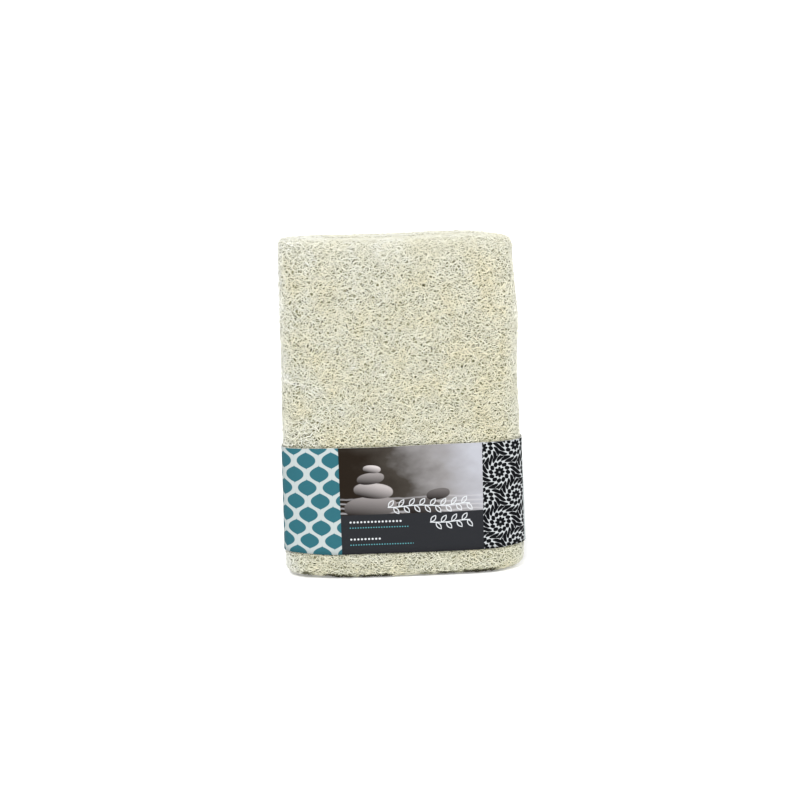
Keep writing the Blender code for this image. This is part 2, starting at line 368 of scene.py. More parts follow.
def fibre_net_tree():
    """Curly fibres sown on the skin, laid along it and woven in depth."""
    tree = bpy.data.node_groups.new("fibre_net", "GeometryNodeTree")
    tree.is_modifier = True
    add_socket(tree, "Geometry", "NodeSocketGeometry")
    add_socket(tree, "Sown Where", "NodeSocketString", "sow")
    for name, kind, default in FIBRE_INPUTS:
        add_socket(tree, name, kind, default)
    add_socket(tree, "Material", "NodeSocketMaterial")
    add_socket(tree, "Geometry", "NodeSocketGeometry", out=True)
    new, link = tree.nodes.new, tree.links.new
    gin = new("NodeGroupInput").outputs
    skin = gin["Geometry"]

    def value_of(sockets):
        return [s for s in sockets if s.type == "VALUE"][0]

    def from_skin(name):
        node = new("GeometryNodeInputNamedAttribute")
        node.data_type = "FLOAT"
        wire(tree, node.inputs["Name"], name)
        return value_of(node.outputs)

    def split(place):
        node = new("ShaderNodeSeparateXYZ")
        link(place, node.inputs[0])
        return node.outputs

    # roots, spread evenly over the lot's own part of the skin
    sow = new("GeometryNodeDistributePointsOnFaces")
    sow.distribute_method = "POISSON"
    link(skin, sow.inputs["Mesh"])
    density = gin["Fibres per Square Metre"]
    link(num(tree, "SQRT", div(tree, PACKING, density)), sow.inputs["Distance Min"])
    link(mul(tree, density, OVERSOW), sow.inputs["Density Max"])
    lot = from_skin(gin["Sown Where"])
    link(add(tree, mul(tree, sub(tree, lot, 0.5), MASK_SHARP), 0.5, clamp=True),
         sow.inputs["Density Factor"])
    link(gin["Seed"], sow.inputs["Seed"])

    keep = new("GeometryNodeCaptureAttribute")
    keep.capture_items.new("INT", "Fibre")
    keep.capture_items.new("VECTOR", "Normal")
    link(sow.outputs["Points"], keep.inputs["Geometry"])
    link(new("GeometryNodeInputIndex").outputs[0], keep.inputs["Fibre"])
    link(sow.outputs["Normal"], keep.inputs["Normal"])
    fibre, normal = keep.outputs["Fibre"], keep.outputs["Normal"]

    copies = new("GeometryNodeDuplicateElements")
    copies.domain = "POINT"
    link(keep.outputs["Geometry"], copies.inputs["Geometry"])
    link(add(tree, gin["Segments"], 1), copies.inputs["Amount"])
    along = sub(tree, div(tree, copies.outputs["Duplicate Index"], gin["Segments"]), 0.5)

    def rand(n, low=0.0, high=1.0):
        return random_value(tree, fibre, add(tree, gin["Seed"], n), low, high)

    # each fibre is an arc in the plane of the skin, stirred by noise
    start = new("GeometryNodeInputPosition").outputs[0]
    length = mul(tree, gin["Length"],
                 add(tree, 1.0, mul(tree, gin["Length Spread"], rand(11, -1.0, 1.0))))
    s = mul(tree, along, length)
    angle = add(tree, gin["Slant"], mul(tree, gin["Slant Spread"], rand(12, -0.5, 0.5)))
    bend = rand(13, -1.0, 1.0)
    curl = mul(tree, gin["Curl"], mul(tree, bend, num(tree, "ABSOLUTE", bend)))
    curl = add(tree, curl, mul(tree, num(tree, "SIGN", bend), LEAST_CURL))
    turned = add(tree, angle, mul(tree, curl, s))
    px = div(tree, sub(tree, num(tree, "SINE", turned), num(tree, "SINE", angle)), curl)
    py = div(tree, sub(tree, num(tree, "COSINE", angle), num(tree, "COSINE", turned)), curl)
    side = vec(tree, "NORMALIZE", vec(tree, "CROSS_PRODUCT", (0.0, 0.05, 1.0), normal))
    up = vec(tree, "CROSS_PRODUCT", normal, side)
    guess = vec(tree, "ADD", start, vec(tree, "SCALE", side, scale=px))
    guess = vec(tree, "ADD", guess, vec(tree, "SCALE", up, scale=py))
    stir = noise(tree, vec(tree, "SCALE", guess, scale=1000.0), STIR_SCALE, STIR_DETAIL,
                 w=mul(tree, fibre, STIR_LOT), colour=True)
    stir = vec(tree, "SUBTRACT", stir, (0.5, 0.5, 0.5))
    guess = vec(tree, "ADD", guess,
                vec(tree, "SCALE", stir, scale=mul(tree, gin["Wander"], STIR_REACH)))

    near = new("GeometryNodeProximity")
    near.target_element = "FACES"
    link(skin, near.inputs[0])
    wire(tree, near.inputs["Sample Position"] if "Sample Position" in near.inputs
         else near.inputs["Source Position"], guess)
    on_skin = near.outputs["Position"]
    height = split(on_skin)["Z"]
    face = new("GeometryNodeSampleNearestSurface")
    face.data_type = "FLOAT_VECTOR"
    link(skin, face.inputs["Mesh"])
    link(new("GeometryNodeInputNormal").outputs[0], face.inputs["Value"])
    link(guess, face.inputs["Sample Position"])
    outward_way = face.outputs["Value"]

    # depth: each fibre's own level, a weave along it, diving tips, and the tuck under the band
    tip = num(tree, "POWER", mul(tree, num(tree, "ABSOLUTE", along), 2.0), TIP_POWER)
    wave = num(tree, "SINE", add(tree, mul(tree, s, WEAVE_RATE), rand(14, 0.0, 6.283)))
    deep = add(tree, gin["Depth"], mul(tree, gin["Depth Spread"], rand(15, -1.0, 1.0)))
    deep = add(tree, deep, mul(tree, gin["Weave"], wave))
    deep = add(tree, deep, mul(tree, gin["Tip Dive"], tip))
    past_low = mul(tree, sub(tree, height, TUCK_LOW), TUCK_RATE)
    past_high = mul(tree, sub(tree, TUCK_HIGH, height), TUCK_RATE)
    tuck = mul(tree, num(tree, "SMOOTH_MIN", 1.0, past_low, TUCK_SOFT),
               num(tree, "SMOOTH_MIN", 1.0, past_high, TUCK_SOFT))
    tuck = num(tree, "MAXIMUM", tuck, 0.0, clamp=True)
    tuck = mul(tree, tuck, mul(tree, num(tree, "GREATER_THAN", height, TUCK_LOW),
                               num(tree, "LESS_THAN", height, TUCK_HIGH)))
    deep = add(tree, deep, mul(tree, gin["Tuck Under Band"], tuck))

    # pores: the nearest cell middle pushes the fibres aside
    flat = vec(tree, "MULTIPLY", on_skin, (1.0, 1.0, PORE_FLAT))
    cell = new("ShaderNodeTexVoronoi")
    cell.feature = "F1"
    cell.inputs["Scale"].default_value = 1.0
    cell.inputs["Randomness"].default_value = 1.0
    link(vec(tree, "SCALE", flat, scale=gin["Pores per Metre"]), cell.inputs["Vector"])
    middle = vec(tree, "SCALE", cell.outputs["Position"],
                 scale=div(tree, 1.0, gin["Pores per Metre"]))
    reach = vec(tree, "SUBTRACT", flat, middle)
    off = vec(tree, "DOT_PRODUCT", reach, outward_way)
    reach = vec(tree, "SUBTRACT", reach, vec(tree, "SCALE", outward_way, scale=off))
    wide = div(tree, off, gin["Pore Radius"])
    wide = sub(tree, 1.0, mul(tree, wide, wide), clamp=True)
    aside = num(tree, "MAXIMUM", sub(tree, mul(tree, wide, gin["Pore Radius"]),
                                     vec(tree, "LENGTH", reach)), 0.0)
    flat = vec(tree, "ADD", flat, vec(tree, "SCALE", vec(tree, "NORMALIZE", reach), scale=aside))
    flat = vec(tree, "DIVIDE", flat, (1.0, 1.0, PORE_FLAT))
    place = vec(tree, "SUBTRACT", flat, vec(tree, "SCALE", outward_way, scale=deep))
    place = vec(tree, "MAXIMUM", place, (-1.0, -1.0, FLOOR_CLEAR))

    # colour: warm and neutral patches; paler and more neutral at the sides and the head as painted
    # rim light; darker with depth and toward the foot as painted shade
    patch = noise(tree, vec(tree, "SCALE", start, scale=1000.0), PATCH_SCALE, PATCH_DETAIL)
    root = split(start)
    # painted rim light: paler, more neutral fibres toward the sides and the head
    rim_light = mul(tree, sub(tree, num(tree, "ABSOLUTE", root["X"]), SIDE_RIM_LIGHT), SIDE_RIM_LIGHT_RATE,
               clamp=True)
    head_rim_light = mul(tree, sub(tree, root["Z"], HEAD_RIM_LIGHT), HEAD_RIM_LIGHT_RATE, clamp=True)
    rim_light = num(tree, "MAXIMUM", rim_light, mul(tree, head_rim_light, HEAD_RIM_LIGHT_SHARE))
    warm = num(tree, "MINIMUM", mul(tree, sub(tree, patch, PATCH_FROM), PATCH_GAIN), PATCH_MOST)
    warm = sub(tree, warm, mul(tree, root["X"], WARM_ACROSS))
    tint = add(tree, mul(tree, rand(16), TINT_SPREAD), warm, clamp=True)
    tint = add(tree, tint, mul(tree, mul(tree, rim_light, RIM_LIGHT_TINT), sub(tree, 1.0, tint)), clamp=True)
    low = sub(tree, 1.0, div(tree, root["Z"], HEIGHT * MM))
    # painted shade: deeper fibres are darker, and fibres are darker toward the foot
    shade = add(tree, div(tree, deep, FULL_DEPTH), mul(tree, low, FOOT_SHADE))
    # painted rim light also lifts the shade there
    shade = sub(tree, shade, mul(tree, rim_light, RIM_LIGHT_LIFT))
    shade = add(tree, shade, rand(18, -SHADE_SPREAD, SHADE_SPREAD), clamp=True)
    # painted contact shadow: the lowest fibres at the foot's front edge are darkened in dashes
    lowest = div(tree, sub(tree, from_skin("dash_level"), height), SHADOW_DASH_FADE, clamp=True)
    dash = mul(tree, lowest, from_skin("dash"))
    shade = num(tree, "MAXIMUM", mul(tree, shade, SHADE_SHARE), dash)
    taper = sub(tree, 1.0, mul(tree, tip, TIP_TAPER))
    radius = mul(tree, gin["Thickness"], mul(tree, taper, rand(17, THICK_LEAST, THICK_MOST)))

    # the values are stored before the points move, so that they read the same fields
    # the value stored as deep is the painted shade of each fibre
    geometry = copies.outputs["Geometry"]
    for name, value in (("tint", tint), ("deep", shade), ("thick", radius)):
        store = new("GeometryNodeStoreNamedAttribute")
        store.data_type = "FLOAT"
        store.domain = "POINT"
        store.inputs["Name"].default_value = name
        link(geometry, store.inputs["Geometry"])
        wire(tree, [s for s in store.inputs if s.name == "Value"][0], value)
        geometry = store.outputs["Geometry"]
    move = new("GeometryNodeSetPosition")
    link(geometry, move.inputs["Geometry"])
    link(place, move.inputs["Position"])

    strands = new("GeometryNodePointsToCurves")
    link(move.outputs[0], strands.inputs["Points"])
    link(fibre, strands.inputs["Curve Group ID"])
    link(along, strands.inputs["Weight"])
    thick = from_skin("thick")
    size = new("GeometryNodeSetCurveRadius")
    link(strands.outputs[0], size.inputs[0])
    link(thick, size.inputs["Radius"])
    ring = new("GeometryNodeCurvePrimitiveCircle")
    ring.inputs["Resolution"].default_value = 3
    ring.inputs["Radius"].default_value = 1.0
    tube = new("GeometryNodeCurveToMesh")
    link(size.outputs[0], tube.inputs["Curve"])
    link(ring.outputs[0], tube.inputs["Profile Curve"])
    tube.inputs["Fill Caps"].default_value = True
    if "Scale" in tube.inputs:
        link(thick, tube.inputs["Scale"])
    soft = new("GeometryNodeSetShadeSmooth")
    link(tube.outputs[0], soft.inputs[0])
    real = new("GeometryNodeRealizeInstances")
    link(soft.outputs[0], real.inputs[0])
    paint = new("GeometryNodeSetMaterial")
    link(real.outputs[0], paint.inputs["Geometry"])
    link(gin["Material"], paint.inputs["Material"])
    link(paint.outputs[0], new("NodeGroupOutput").inputs[0])
    return tree


def grow(name, skin, tree, where, material, **values):
    """Runs a tree on the skin and keeps the result as a plain mesh."""
    carrier = bpy.data.objects.new(name + "_sown", skin.data)
    COL.objects.link(carrier)
    mod = carrier.modifiers.new("grow", "NODES")
    mod.node_group = tree
    values.update(sown_where=where, material=material)
    for item in tree.interface.items_tree:
        key = item.name.lower().replace(" ", "_")
        if item.item_type == "SOCKET" and item.in_out == "INPUT" and key in values:
            mod[item.identifier] = values[key]
    bpy.context.view_layer.update()
    graph = bpy.context.evaluated_depsgraph_get()
    mesh = bpy.data.meshes.new_from_object(carrier.evaluated_get(graph), depsgraph=graph)
    mesh.name = name
    bpy.data.objects.remove(carrier, do_unlink=True)
    obj = bpy.data.objects.new(name, mesh)
    COL.objects.link(obj)
    colour_map(mesh)
    if "thick" in mesh.attributes:
        mesh.attributes.remove(mesh.attributes["thick"])
    return obj


COLOUR_LOW, COLOUR_SPAN, COLOUR_STEP = 0.02, 0.93, 0.008


def colour_map(mesh):
    """A map whose two ways are the tint and the painted shade, so that one small picture holds
    both.
    """
    count = len(mesh.vertices)
    tint, deep = np.zeros(count, np.float32), np.zeros(count, np.float32)
    mesh.attributes["tint"].data.foreach_get("value", tint)
    mesh.attributes["deep"].data.foreach_get("value", deep)
    loops = np.zeros(len(mesh.loops), np.int32)
    mesh.loops.foreach_get("vertex_index", loops)
    corner = (loops % 3).astype(np.float32)
    uv = np.stack([COLOUR_LOW + COLOUR_SPAN * tint[loops] + COLOUR_STEP * corner,
                   COLOUR_LOW + COLOUR_SPAN * deep[loops] + COLOUR_STEP * (corner == 1)], -1)
    layer = mesh.uv_layers.new(name="OFBake")
    layer.data.foreach_set("uv", uv.astype(np.float32).ravel())


# materials

def principled(name, roughness):
    mat = bpy.data.materials.new(name)
    mat.use_nodes = True
    shader = mat.node_tree.nodes["Principled BSDF"]
    shader.inputs["Roughness"].default_value = roughness
    return mat, mat.node_tree, shader


def ramp(tree, factor, stops):
    node = tree.nodes.new("ShaderNodeValToRGB")
    elements = node.color_ramp.elements
    while len(elements) < len(stops):
        elements.new(0.5)
    for element, (pos, colour) in zip(elements, stops):
        element.position = pos
        element.color = (*colour, 1.0)
    wire(tree, node.inputs[0], factor)
    return node.outputs[0]


def mix(tree, factor, a, b, kind="MIX"):
    node = tree.nodes.new("ShaderNodeMix")
    node.data_type = "RGBA"
    node.blend_type = kind
    wire(tree, node.inputs[0], factor)
    for socket, value in zip([s for s in node.inputs if s.type == "RGBA"], (a, b)):
        wire(tree, socket, (*value, 1.0) if isinstance(value, tuple) else value)
    return [s for s in node.outputs if s.type == "RGBA"][0]


def attribute(tree, name):
    node = tree.nodes.new("ShaderNodeAttribute")
    node.attribute_name = name
    return node.outputs["Fac"]


def raised(tree, shader, height, strength, distance):
    bump = tree.nodes.new("ShaderNodeBump")
    bump.inputs["Strength"].default_value = strength
    bump.inputs["Distance"].default_value = distance
    wire(tree, bump.inputs["Height"], height)
    wire(tree, shader.inputs["Normal"], bump.outputs[0])


# the last stop is the pale neutral that the painted rim light draws toward
FIBRE_TINTS = (
    (0.0, (0.834, 0.787, 0.606)),
    (0.22, (0.823, 0.79, 0.631)),
    (0.42, (0.814, 0.793, 0.657)),
    (0.6, (0.81, 0.798, 0.679)),
    (0.76, (0.813, 0.806, 0.704)),
    (1.0, (0.885, 0.89, 0.856)),
)
FIBRE_GAIN = 1.02
# painted shade: this ramp darkens the fibres by their stored shade value
DEPTH_SHADES = (
    (0.0, (1.0, 1.0, 1.0)),
    (0.2, (0.95, 0.95, 0.935)),
    (0.4, (0.80, 0.81, 0.773)),
    (0.8, (0.48, 0.49, 0.40)),
    (1.0, (0.06, 0.055, 0.035)),
)

# the web behind the fibres: pore size and colours, darker than the fibres as painted shade, and
# where painted rim light makes it paler
WEB_PORES = 560.0
WEB_RAMP = ((0.0, (0, 0, 0)), (0.16, (0.05, 0.05, 0.05)), (0.3, (0.7, 0.7, 0.7)),
            (0.5, (1.0, 1.0, 1.0)))
WEB_PORE_SHADE, WEB_THREAD_SHADE, WEB_RIM_LIGHT = (0.05, 0.047, 0.022), (0.28, 0.275, 0.16), (0.62, 0.61, 0.5)
WEB_SIDE, WEB_SIDE_REACH, WEB_HEAD, WEB_HEAD_REACH, WEB_RIM_LIGHT_SHARE = 0.044, 0.006, 0.131, 0.009, 0.7


def fibre_material():
    mat, tree, shader = principled("dry_fibre", 0.72)
    pale = ramp(tree, attribute(tree, "tint"),
                [(p, tuple(FIBRE_GAIN * c for c in colour)) for p, colour in FIBRE_TINTS])
    # painted shade: darker with depth, toward the foot and in the contact shadow dashes
    dark = ramp(tree, attribute(tree, "deep"), DEPTH_SHADES)
    wire(tree, shader.inputs["Base Color"], mix(tree, 1.0, pale, dark, "MULTIPLY"))
    shader.inputs["Specular IOR Level"].default_value = 0.25
    return mat


def web_material():
    """The deeper web between the fibres: fine crossing threads over pores, coloured dark as painted
    shade and paler toward the rims as painted rim light.
    """
    mat, tree, shader = principled("inner_web", 0.85)
    place = tree.nodes.new("ShaderNodeTexCoord").outputs["Object"]
    stir = noise(tree, place, 500.0, 2.0, colour=True)
    stir = vec(tree, "SUBTRACT", stir, (0.5, 0.5, 0.5))
    bent = vec(tree, "ADD", place, vec(tree, "SCALE", stir, scale=0.0022))
    cells = tree.nodes.new("ShaderNodeTexVoronoi")
    cells.feature = "F1"
    wire(tree, cells.inputs["Vector"], bent)
    cells.inputs["Scale"].default_value = WEB_PORES
    pore = ramp(tree, cells.outputs["Distance"], WEB_RAMP)
    # painted shade: the pore middles darkest, the threads between them dark olive
    web = mix(tree, pore, WEB_PORE_SHADE, WEB_THREAD_SHADE)
    split = tree.nodes.new("ShaderNodeSeparateXYZ")
    wire(tree, split.inputs[0], place)
    # painted rim light: the web is paler toward the sides and the head
    side = div(tree, sub(tree, num(tree, "ABSOLUTE", split.outputs["X"]), WEB_SIDE),
               WEB_SIDE_REACH, clamp=True)
    head = div(tree, sub(tree, split.outputs["Z"], WEB_HEAD), WEB_HEAD_REACH, clamp=True)
    rim_light = mul(tree, num(tree, "MAXIMUM", side, head), WEB_RIM_LIGHT_SHARE)
    wire(tree, shader.inputs["Base Color"], mix(tree, rim_light, web, WEB_RIM_LIGHT))
    raised(tree, shader, pore, 0.8, 0.0006)
    shader.inputs["Specular IOR Level"].default_value = 0.2
    return mat


# band print, in millimetres across and up

TEAL = (0.0235, 0.11, 0.138)
CHARCOAL = (0.0185, 0.0195, 0.0225)
PAPER_WHITE = (0.395, 0.44, 0.44)
INK_BLACK, INK_WHITE = (0.0015, 0.002, 0.003), (0.44, 0.46, 0.47)
MARK_WHITE, MARK_TEAL = (0.56, 0.58, 0.60), (0.10, 0.36, 0.40)
BARE_PAPER = (0.74, 0.74, 0.71)

# where the panels, the white margins and the plain back begin, and the top of the lower strip
PANEL_LEFT, PANEL_RIGHT, STRIP_TOP = -26.7, 33.4, 28.6
MARGIN_LEFT, MARGIN_RIGHT, BACK_FROM = -55.3, 52.8, 57.0
EDGE = 0.09                             # softness of a printed edge

# the lattice: pitches, place of one cell, half sizes of a cell and its drawn-out tip
LATTICE_W, LATTICE_H, LATTICE_X, LATTICE_Z = 10.55, 11.85, -40.3, 40.85
CELL_HALF_W, CELL_HALF_H, CELL_ROUND = 4.05, 3.55, 2.1
TIP_LONG, TIP_SLOPE = 0.5, 0.32

# the flowers: pitches and place; for each ring its petals, radii, half width, twist and lean
FLOWER_W, FLOWER_H, FLOWER_X, FLOWER_Z = 14.4, 22.0, 40.6, 22.5
PETAL_RINGS = ((8, 0.2, 2.4, 0.66, 0.0, 1.5), (12, 2.55, 4.75, 1.0, 0.06, 1.2),
               (18, 4.8, 8.7, 1.12, 0.14, 1.0))

STONES = (
    # across, up, half width, half height, lean, brightness
    (-14.0, 32.0, 11.0, 4.6, 0.05, 0.20),
    (-12.6, 39.0, 8.2, 3.4, -0.08, 0.36),
    (-13.6, 44.4, 5.7, 2.5, 0.10, 0.22),
    (-12.9, 48.5, 3.7, 1.7, -0.06, 0.48),
    (7.5, 31.4, 8.0, 3.6, -0.10, 0.06),
    (14.5, 36.6, 4.9, 2.4, 0.12, 0.10),
)
STONE_ROUND, WATER_TOP, GLINT = 2.3, 36.0, (0.46, 0.45, 0.47)
MIST = ((0.16, (0.014, 0.0095, 0.006)), (0.42, (0.041, 0.035, 0.029)),
        (0.68, (0.222, 0.213, 0.213)), (1.0, (0.375, 0.38, 0.417)))

# rows of dots: up, first dot, end; then leafy sprigs: up, start, pairs of leaves
WHITE_ROWS, WHITE_PITCH, WHITE_RADIUS = ((25.4, -22.6, -0.8), (17.8, -22.6, -9.8)), 1.5, 0.42
TEAL_ROWS, TEAL_PITCH, TEAL_RADIUS = ((22.9, -22.8, 1.6), (15.3, -22.8, 3.6)), 1.1, 0.24
SPRIGS = ((31.8, -6.8, 8), (24.4, 10.8, 4))
LEAF_PITCH, LEAF_OUT, LEAF_WIDE, LEAF_BOW, LINE = 4.4, 1.55, 0.78, 0.26, 0.2

# the paper's own finish: how its roughness varies, and its grain in metres
SHEEN_SCALE, SHEEN_LEAST, SHEEN_SPREAD = 60.0, 0.46, 0.16
GRAIN_SCALE, GRAIN_STRENGTH, GRAIN_HEIGHT = 900.0, 0.12, 0.0002


def step(tree, value, edge, soft=EDGE):
    """1 where value is past edge, with a soft printed border."""
    return add(tree, div(tree, sub(tree, value, edge), 2.0 * soft), 0.5, clamp=True)


def inside(tree, value, low, high):
    """1 where value lies between low and high."""
    return mul(tree, step(tree, value, low), sub(tree, 1.0, step(tree, value, high)))


def either(tree, *masks):
    """The brightest of some masks."""
    out = masks[0]
    for m in masks[1:]:
        out = num(tree, "MAXIMUM", out, m)
    return out


def radius(tree, x, z):
    return num(tree, "SQRT", add(tree, mul(tree, x, x), mul(tree, z, z)))


def use(tree, name, build, across, up):
    """Puts what build draws into a node group of its own, and gives its value or colour."""
    group = bpy.data.node_groups.new(name, "ShaderNodeTree")
    add_socket(group, "Across", "NodeSocketFloat", 0.0)
    add_socket(group, "Up", "NodeSocketFloat", 0.0)
    given = group.nodes.new("NodeGroupInput").outputs
    result = build(group, given["Across"], given["Up"])
    kind = "NodeSocketColor" if result.type == "RGBA" else "NodeSocketFloat"
    add_socket(group, "Result", kind, out=True)
    wire(group, group.nodes.new("NodeGroupOutput").inputs[0], result)
    node = tree.nodes.new("ShaderNodeGroup")
    node.node_tree = group
    wire(tree, node.inputs["Across"], across)
    wire(tree, node.inputs["Up"], up)
    return node.outputs[0]


def wrapped(tree, value, period):
    """Distance from the nearest multiple of period, with its sign."""
    half = period / 2.0
    return sub(tree, num(tree, "FLOORED_MODULO", add(tree, value, half), period), half)


def ogee(tree, x, z):
    """Half-drop lattice of round-sided cells with drawn-out tips, between white lines."""
    masks = []
    for offset_x, offset_z in ((0.0, 0.0), (LATTICE_W / 2.0, LATTICE_H / 2.0)):
        away = num(tree, "ABSOLUTE", wrapped(tree, sub(tree, x, LATTICE_X + offset_x), LATTICE_W))
        up = num(tree, "ABSOLUTE", wrapped(tree, sub(tree, z, LATTICE_Z + offset_z), LATTICE_H))
        t = num(tree, "MINIMUM", div(tree, up, CELL_HALF_H), 1.0)
        lens = mul(tree, sub(tree, 1.0, num(tree, "POWER", t, CELL_ROUND)), CELL_HALF_W)
        tip = mul(tree, sub(tree, CELL_HALF_H + TIP_LONG, up), TIP_SLOPE)
        half = num(tree, "MAXIMUM", lens, tip)
        masks.append(step(tree, sub(tree, half, away), 0.06, 0.1))
    return either(tree, *masks)


def petals(tree, r, a, count, low, high, wide, twist, lean):
    """Black petals round a centre, each widest outward of its middle, from radius low to high."""
    turn = add(tree, a, mul(tree, sub(tree, r, low), twist))
    arc = mul(tree, num(tree, "ABSOLUTE", wrapped(tree, turn, 2.0 * math.pi / count)), r)
    t = div(tree, sub(tree, r, low), high - low, clamp=True)
    t = num(tree, "POWER", t, lean)
    half = mul(tree, num(tree, "POWER", num(tree, "SINE", mul(tree, t, math.pi)), 0.6), wide)
    return step(tree, sub(tree, half, arc), 0.03, 0.07)


def flowers(tree, x, z):
    """White lines round black petals in rings, in half-drop rows of round flowers."""
    drawn = []
    for ox, oz in ((0.0, 0.0), (FLOWER_W / 2.0, FLOWER_H / 2.0)):
        dx = wrapped(tree, sub(tree, x, FLOWER_X + ox), FLOWER_W)
        dz = wrapped(tree, sub(tree, z, FLOWER_Z + oz), FLOWER_H)
        r = radius(tree, dx, dz)
        a = num(tree, "ARCTAN2", dz, dx)
        drawn.append((r, either(tree, *[petals(tree, r, a, *ring) for ring in PETAL_RINGS])))
    (r0, first), (r1, second) = drawn
    pick = step(tree, sub(tree, r0, r1), 0.0, 0.02)
    black = add(tree, mul(tree, second, pick), mul(tree, first, sub(tree, 1.0, pick)))
    return sub(tree, 1.0, black)


def still_life(tree, x, z):
    """A soft one-colour picture: smooth stones, still water and a pale wall of mist."""
    flow = add(tree, mul(tree, x, 0.016), mul(tree, z, 0.006))
    cloud = tree.nodes.new("ShaderNodeCombineXYZ")
    wire(tree, cloud.inputs[0], x)
    wire(tree, cloud.inputs[1], mul(tree, z, 1.5))
    mist = noise(tree, cloud.outputs[0], 0.09, 3.0)
    back = ramp(tree, add(tree, flow, mul(tree, mist, 0.35)), MIST)
    water = sub(tree, 1.0, step(tree, z, WATER_TOP, 1.2))
    ripple = num(tree, "SINE", add(tree, mul(tree, z, 3.1), mul(tree, mist, 9.0)))
    glint = mul(tree, mul(tree, step(tree, ripple, 0.45, 0.3), water), 0.45)
    colour = mix(tree, glint, back, GLINT)
    for cx, cz, half_w, half_h, lean, bright in STONES:
        dx = sub(tree, x, cx)
        dz = sub(tree, sub(tree, z, cz), mul(tree, dx, lean))
        ex, ez = div(tree, dx, half_w), div(tree, dz, half_h)
        r = add(tree, num(tree, "POWER", num(tree, "ABSOLUTE", ex), STONE_ROUND),
                num(tree, "POWER", num(tree, "ABSOLUTE", ez), STONE_ROUND))
        body = sub(tree, 1.0, step(tree, r, 1.0, 0.06))
        light = add(tree, mul(tree, ez, 0.55), mul(tree, ex, 0.25))
        tone = mul(tree, add(tree, light, 0.55, clamp=True), bright)
        stone = tree.nodes.new("ShaderNodeCombineColor")
        wire(tree, stone.inputs[0], add(tree, tone, 0.012))
        wire(tree, stone.inputs[1], add(tree, mul(tree, tone, 0.93), 0.009))
        wire(tree, stone.inputs[2], add(tree, mul(tree, tone, 0.92), 0.008))
        colour = mix(tree, body, colour, stone.outputs[0])
    return colour


def dots(tree, x, z, rows, pitch, size):
    """Level rows of small round dots."""
    drawn = []
    for level, first, end in rows:
        dx = wrapped(tree, sub(tree, x, first), pitch)
        r = radius(tree, dx, sub(tree, z, level))
        drawn.append(mul(tree, sub(tree, 1.0, step(tree, r, size)),
                         inside(tree, x, first - pitch / 2.0, end)))
    return either(tree, *drawn)


def sprig(tree, x, z, level, start, count):
    """A level stem with open leaves by turns above and below it."""
    stem = mul(tree, num(tree, "SINE", mul(tree, x, 0.3)), 0.3)
    dz = sub(tree, sub(tree, z, level), stem)
    lines = [mul(tree, inside(tree, x, start, start + LEAF_PITCH * count - 0.6),
                 sub(tree, 1.0, step(tree, num(tree, "ABSOLUTE", dz), LINE)))]
    for sign, offset in ((1.0, 1.4), (-1.0, 3.6)):
        dx = wrapped(tree, sub(tree, x, start + offset), LEAF_PITCH)
        dy = sub(tree, mul(tree, dz, sign), LEAF_OUT)
        along = add(tree, mul(tree, dx, 0.6), mul(tree, dy, 0.8))
        across = sub(tree, mul(tree, dx, 0.8), mul(tree, dy, 0.6))
        bow = mul(tree, mul(tree, along, along), LEAF_BOW)
        bent = add(tree, num(tree, "ABSOLUTE", across), bow)
        leaf = sub(tree, 1.0, step(tree, num(tree, "ABSOLUTE", sub(tree, bent, LEAF_WIDE)), LINE))
        leaf = mul(tree, leaf, step(tree, mul(tree, dz, sign), 0.0))
        first = start + offset - LEAF_PITCH / 2.0
        lines.append(mul(tree, leaf, inside(tree, x, first, first + LEAF_PITCH * count)))
    return either(tree, *lines)


def white_marks(tree, x, z):
    return either(tree, dots(tree, x, z, WHITE_ROWS, WHITE_PITCH, WHITE_RADIUS),
                  *[sprig(tree, x, z, *place) for place in SPRIGS])


def teal_rules(tree, x, z):
    return dots(tree, x, z, TEAL_ROWS, TEAL_PITCH, TEAL_RADIUS)


def print_material():
    mat, tree, shader = principled("printed_paper", 0.38)
    place = tree.nodes.new("ShaderNodeUVMap")
    place.uv_map = "Print"
    split = tree.nodes.new("ShaderNodeSeparateXYZ")
    wire(tree, split.inputs[0], place.outputs[0])
    x = mul(tree, split.outputs["X"], 1000.0)
    z = mul(tree, split.outputs["Y"], 1000.0)
    left = mix(tree, use(tree, "ogee_lattice", ogee, x, z), PAPER_WHITE, TEAL)
    right = mix(tree, use(tree, "flower_lines", flowers, x, z), INK_BLACK, INK_WHITE)
    picture = use(tree, "still_life", still_life, x, z)
    centre = mix(tree, sub(tree, 1.0, step(tree, z, STRIP_TOP)), picture, CHARCOAL)
    centre = mix(tree, use(tree, "white_marks", white_marks, x, z), centre, MARK_WHITE)
    centre = mix(tree, use(tree, "teal_rules", teal_rules, x, z), centre, MARK_TEAL)
    margin = either(tree, step(tree, x, MARGIN_RIGHT), step(tree, mul(tree, x, -1.0), -MARGIN_LEFT))
    colour = mix(tree, step(tree, x, PANEL_LEFT), left, centre)
    colour = mix(tree, step(tree, x, PANEL_RIGHT), colour, right)
    colour = mix(tree, margin, colour, PAPER_WHITE)
    colour = mix(tree, step(tree, num(tree, "ABSOLUTE", x), BACK_FROM), colour, CHARCOAL)
    colour = mix(tree, attribute(tree, "printed"), BARE_PAPER, colour)
    wire(tree, shader.inputs["Base Color"], colour)
    where = tree.nodes.new("ShaderNodeTexCoord").outputs["Object"]
    sheen = mul(tree, noise(tree, where, SHEEN_SCALE, 2.0), SHEEN_SPREAD)
    wire(tree, shader.inputs["Roughness"], add(tree, SHEEN_LEAST, sheen))
    raised(tree, shader, noise(tree, where, GRAIN_SCALE, 3.0), GRAIN_STRENGTH, GRAIN_HEIGHT)
    shader.inputs["Specular IOR Level"].default_value = 0.05
    return mat


# pieces, in millimetres

